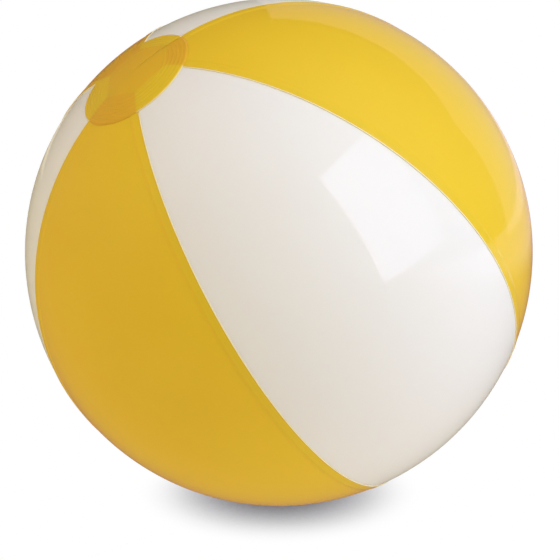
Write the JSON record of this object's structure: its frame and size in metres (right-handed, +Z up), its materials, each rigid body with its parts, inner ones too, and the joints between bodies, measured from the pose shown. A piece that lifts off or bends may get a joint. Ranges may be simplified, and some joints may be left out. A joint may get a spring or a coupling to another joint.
{
  "type": "inflatable beach ball",
  "caption": "Round inflatable ball of alternating yellow and white film panels lap-welded between two end caps, with a push-in air valve, a tethered plug and a check flap.",
  "frame": {"origin": "centre of the inflated ball", "axes": "+Z up from the floor that the ball lies on, which is at Z = -0.13 m; -Y towards the viewer; the pole axis leans 40.2 degrees from +Z, with the front end cap up, to the left and to the front, and the valve low on the far side"},
  "size_m": [0.26, 0.26, 0.26],
  "materials": {
    "yellow_film": "glossy translucent soft vinyl film",
    "white_film": "glossy opal soft vinyl film",
    "clear_vinyl": "clear moulded soft vinyl"
  },
  "bodies": {
    "ball": {"yellow_panel_1": "yellow_film", "yellow_panel_2": "yellow_film", "yellow_panel_3": "yellow_film", "white_panel_1": "white_film", "white_panel_2": "white_film", "white_panel_3": "white_film", "front_end_cap": "yellow_film", "rear_end_cap": "yellow_film", "valve_base": "clear_vinyl", "valve_web": "clear_vinyl"},
    "stem": {"valve_stem": "clear_vinyl", "plug_strap": "clear_vinyl"},
    "plug": {"valve_plug": "clear_vinyl"},
    "flap": {"check_flap": "clear_vinyl"}
  },
  "joints": [
    {"name": "stem_slide", "type": "slide", "parent": "ball", "child": "stem", "axis": [0.6628, 0.6979, -0.2714], "range_m": [0, 0.018], "deforming": ["valve_web"]},
    {"name": "plug_pull", "type": "slide", "parent": "stem", "child": "plug", "axis": [0.6628, 0.6979, -0.2714], "range_m": [0, 0.012], "deforming": ["plug_strap"]},
    {"name": "flap_swing", "type": "hinge", "parent": "stem", "child": "flap", "pos_m": [0.07743, 0.08294, -0.0269], "axis": [-0.7476, 0.6371, -0.1876], "range_deg": [0, 70], "stiffness_Nm_per_rad": 0.0002}
  ]
}
